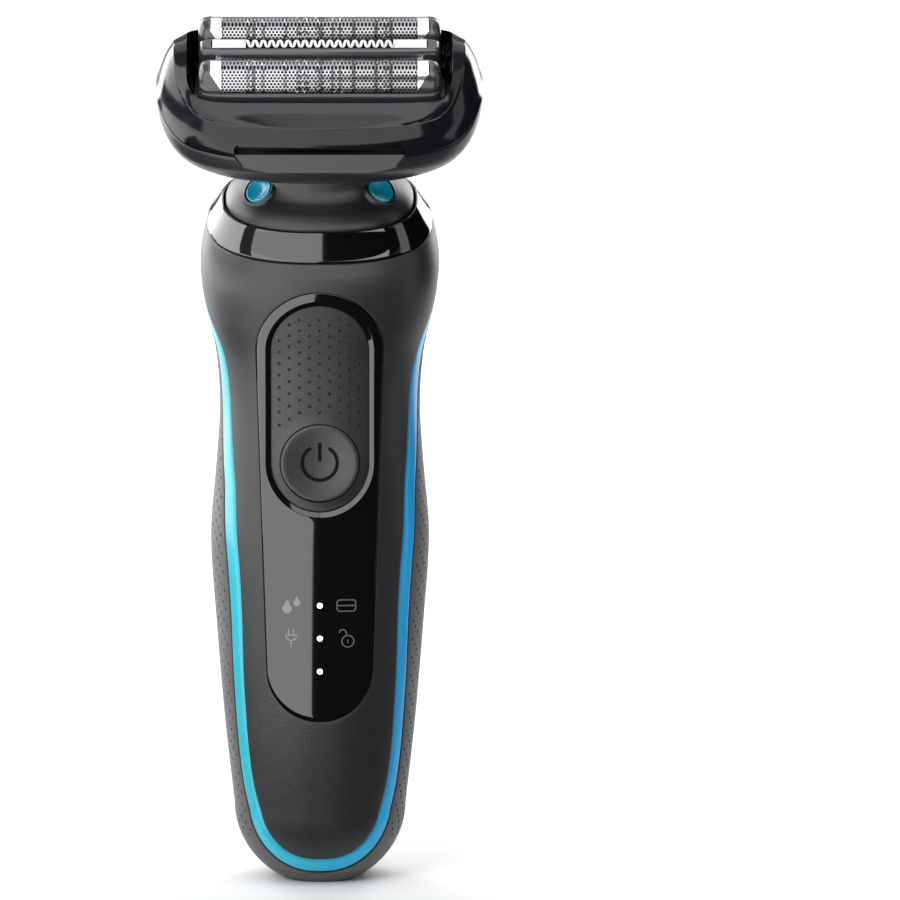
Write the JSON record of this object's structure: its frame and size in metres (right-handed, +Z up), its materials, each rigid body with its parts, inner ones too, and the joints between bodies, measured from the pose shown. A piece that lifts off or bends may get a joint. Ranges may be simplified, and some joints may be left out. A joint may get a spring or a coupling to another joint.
{
  "type": "foil shaver",
  "caption": "Cordless foil shaver: slim charcoal handle with rubber grip and bright blue line, glossy control panel, and a wide floating foil head on a leaning neck.",
  "frame": {"origin": "centre of the flat foot that the shaver stands on", "axes": "+Z up from the foot towards the foils; +X to the right seen from the thumb side; the thumb side faces -Y"},
  "size_m": [0.061, 0.0467, 0.1642],
  "materials": {
    "shell": "fine-grained charcoal plastic",
    "inner_shell": "plain moulded plastic",
    "grip": "soft rubber with small dimples",
    "accent": "satin bright blue",
    "gloss": "high-gloss black",
    "pad": "satin charcoal with a pattern of dots",
    "button": "satin charcoal with a pale power symbol",
    "light": "clear light guide, lit white",
    "socket": "plain black plastic",
    "brass": "bright",
    "cell": "wrapped cell in a blue sleeve",
    "inner_white": "natural moulded plastic",
    "board": "green solder mask",
    "spring_steel": "drawn steel",
    "motor_steel": "rolled steel can",
    "neck": "satin black",
    "release": "dished bright blue",
    "boot": "soft seal",
    "head_satin": "satin black",
    "head_gloss": "glossy dark grey",
    "element_frame": "semi-gloss dark grey",
    "foil": "thin perforated steel foil",
    "cutter_steel": "ground steel",
    "comb_steel": "bright ground steel"
  },
  "bodies": {
    "handle": {"front_shell": "shell", "rear_shell": "inner_shell", "rubber_grip": "grip", "accent_stripe": "accent", "front_panel": "gloss", "thumb_pad": "pad", "light_guide": "light", "charging_socket": "socket", "socket_pin_left": "brass", "socket_pin_right": "brass", "battery": "cell", "battery_contact_lower": "brass", "battery_contact_upper": "brass", "chassis": "inner_white", "circuit_board": "board", "power_switch": "spring_steel", "light_chip_lower": "light", "light_chip_middle": "light", "light_chip_upper": "light", "motor": "motor_steel", "motor_bracket": "inner_white", "leaf_spring_left": "spring_steel", "leaf_spring_right": "spring_steel", "collar_ring": "gloss", "neck_dome": "neck", "drive_boot": "boot"},
    "power_button": {"power_button": "button"},
    "release_left": {"release_button_left": "release"},
    "release_right": {"release_button_right": "release"},
    "motor_shaft": {"motor_shaft": "spring_steel"},
    "drive_bridge": {"drive_bridge": "inner_white", "drive_pin": "spring_steel"},
    "head": {"head_base": "head_satin", "head_bezel": "head_gloss", "element_carrier": "element_frame", "front_spring_left": "spring_steel", "front_spring_right": "spring_steel", "middle_spring_left": "spring_steel", "middle_spring_right": "spring_steel", "rear_spring_left": "spring_steel", "rear_spring_right": "spring_steel"},
    "drive_coupler": {"drive_coupler": "inner_white"},
    "front_element": {"front_foil": "foil", "front_foil_frame": "element_frame"},
    "rear_element": {"rear_foil": "foil", "rear_foil_frame": "element_frame"},
    "trimmer_element": {"trimmer_frame": "element_frame", "trimmer_comb": "comb_steel"},
    "front_cutter": {"front_cutter": "cutter_steel"},
    "rear_cutter": {"rear_cutter": "cutter_steel"},
    "trimmer_blade": {"trimmer_blade": "cutter_steel"}
  },
  "joints": [
    {"name": "power_button_press", "type": "slide", "parent": "handle", "child": "power_button", "axis": [0, 1, 0], "range_m": [0, 0.0006], "stiffness_N_per_m": 2000},
    {"name": "release_left_press", "type": "slide", "parent": "handle", "child": "release_left", "axis": [0.527, 0.597, -0.605], "range_m": [0, 0.0012], "stiffness_N_per_m": 1500},
    {"name": "release_right_press", "type": "slide", "parent": "handle", "child": "release_right", "axis": [-0.527, 0.597, -0.605], "range_m": [0, 0.0012], "stiffness_N_per_m": 1500},
    {"name": "motor_spin", "type": "hinge", "parent": "handle", "child": "motor_shaft", "pos_m": [0, 0.0033, 0.1], "axis": [0, 0, 1], "continuous": true},
    {"name": "bridge_swing", "type": "slide", "parent": "handle", "child": "drive_bridge", "axis": [1, 0, 0], "range_m": [-0.0012, 0.0012], "stiffness_N_per_m": 3000, "deforming": ["leaf_spring_left", "leaf_spring_right"]},
    {"name": "head_release", "type": "slide", "parent": "handle", "child": "head", "axis": [0, -0.3584, 0.9336], "range_m": [0, 0.015]},
    {"name": "front_float", "type": "slide", "parent": "head", "child": "front_element", "axis": [0, 0.3584, -0.9336], "range_m": [0, 0.002], "stiffness_N_per_m": 1000, "deforming": ["front_spring_left", "front_spring_right"]},
    {"name": "rear_float", "type": "slide", "parent": "head", "child": "rear_element", "axis": [0, 0.3584, -0.9336], "range_m": [0, 0.002], "stiffness_N_per_m": 1000, "deforming": ["rear_spring_left", "rear_spring_right"]},
    {"name": "trimmer_float", "type": "slide", "parent": "head", "child": "trimmer_element", "axis": [0, 0.3584, -0.9336], "range_m": [0, 0.002], "stiffness_N_per_m": 1000, "deforming": ["middle_spring_left", "middle_spring_right"]},
    {"name": "coupler_slide", "type": "slide", "parent": "head", "child": "drive_coupler", "axis": [1, 0, 0], "range_m": [-0.0012, 0.0012]},
    {"name": "front_cutter_slide", "type": "slide", "parent": "front_element", "child": "front_cutter", "axis": [1, 0, 0], "range_m": [-0.0012, 0.0012]},
    {"name": "rear_cutter_slide", "type": "slide", "parent": "rear_element", "child": "rear_cutter", "axis": [1, 0, 0], "range_m": [-0.0012, 0.0012]},
    {"name": "trimmer_blade_slide", "type": "slide", "parent": "trimmer_element", "child": "trimmer_blade", "axis": [1, 0, 0], "range_m": [-0.0012, 0.0012]}
  ],
  "couplings": [
    {"joint": "coupler_slide", "follows": "bridge_swing", "ratio": 1},
    {"joint": "front_cutter_slide", "follows": "bridge_swing", "ratio": 1},
    {"joint": "rear_cutter_slide", "follows": "bridge_swing", "ratio": 1},
    {"joint": "trimmer_blade_slide", "follows": "bridge_swing", "ratio": 1}
  ]
}
